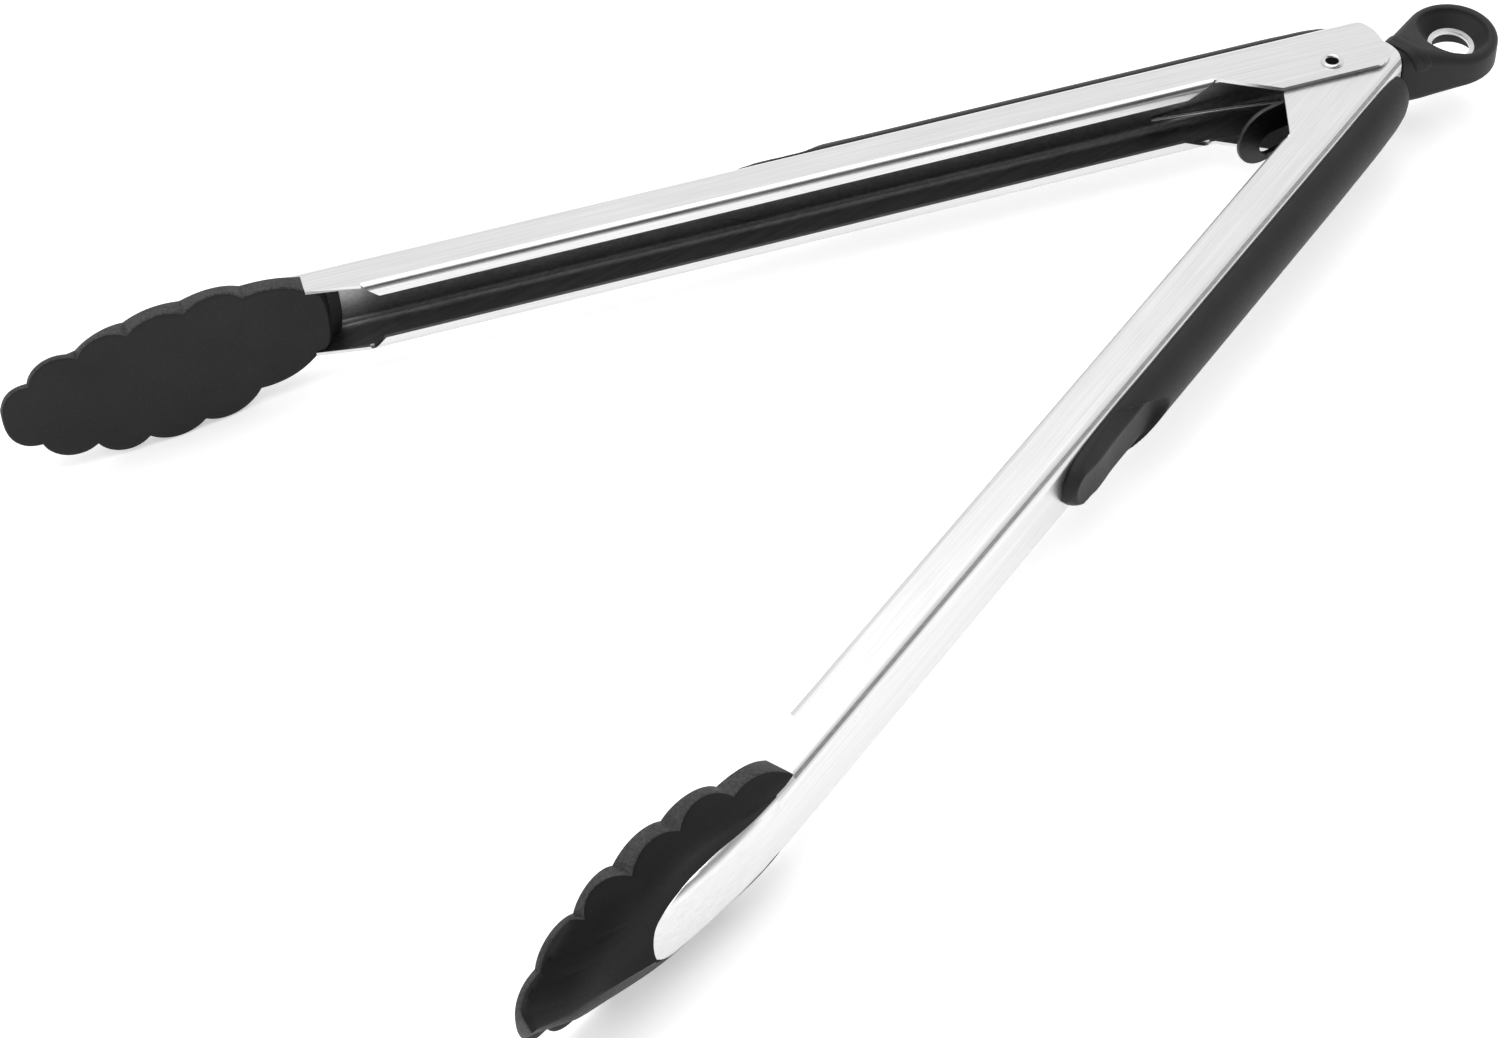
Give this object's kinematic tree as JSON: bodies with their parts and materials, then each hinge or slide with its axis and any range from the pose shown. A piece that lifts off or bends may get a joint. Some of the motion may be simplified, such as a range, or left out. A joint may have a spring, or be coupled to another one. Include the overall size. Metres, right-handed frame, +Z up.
{
  "type": "spring-loaded kitchen tongs",
  "caption": "Spring-loaded locking kitchen tongs: two steel channel arms with soft grips and scalloped nylon heads, sprung open at a pivot, with a pull ring that slides to lock.",
  "frame": {"origin": "on the pivot axis, half way across the tongs' width, in the middle of the hollow rivet's bore", "axes": "+X along the centre line of the open tongs, from the heads towards the pull tab; +Y towards the outer arm, the one whose cheeks lie outside at the pivot; +Z up along the pivot axis, with the tongs lying on their side"},
  "size_m": [0.3201, 0.1952, 0.034],
  "materials": {
    "arm_steel": "fine brushed stainless steel",
    "rivet_steel": "polished stainless steel",
    "slider_steel": "plain rolled stainless steel",
    "spring_wire": "drawn spring wire",
    "nylon_head": "moulded nylon, lightly textured",
    "soft_grip": "matt soft-touch elastomer",
    "soft_tab": "matt soft-touch elastomer"
  },
  "bodies": {
    "outer_arm": {"outer_arm": "arm_steel", "outer_grip": "soft_grip", "outer_head": "nylon_head", "hollow_rivet": "rivet_steel", "torsion_spring_outer_leg": "spring_wire"},
    "inner_arm": {"inner_arm": "arm_steel", "inner_grip": "soft_grip", "inner_head": "nylon_head", "torsion_spring_inner_leg": "spring_wire"},
    "spring_coil": {"torsion_spring_coil": "spring_wire"},
    "lock_slider": {"lock_slider_plate": "slider_steel", "lock_slider_eye": "slider_steel", "pull_tab": "soft_tab"}
  },
  "joints": [
    {"name": "arm_close", "type": "hinge", "parent": "outer_arm", "child": "inner_arm", "pos_m": [0, 0, 0], "axis": [0, 0, -1], "range_deg": [0, 37], "stiffness_Nm_per_rad": 0.35, "springref_deg": -34.38, "deforming": ["torsion_spring_outer_leg", "torsion_spring_inner_leg", "torsion_spring_coil"]},
    {"name": "lock_swing", "type": "hinge", "parent": "outer_arm", "child": "spring_coil", "pos_m": [0, 0, 0], "axis": [0, 0, -1], "range_deg": [0, 14.6]},
    {"name": "lock_slide", "type": "slide", "parent": "spring_coil", "child": "lock_slider", "axis": [0.9976, -0.0698, 0], "range_m": [0, 0.012]}
  ],
  "couplings": [
    {"joint": "lock_swing", "follows": "arm_close", "ratio": 0.3925}
  ]
}
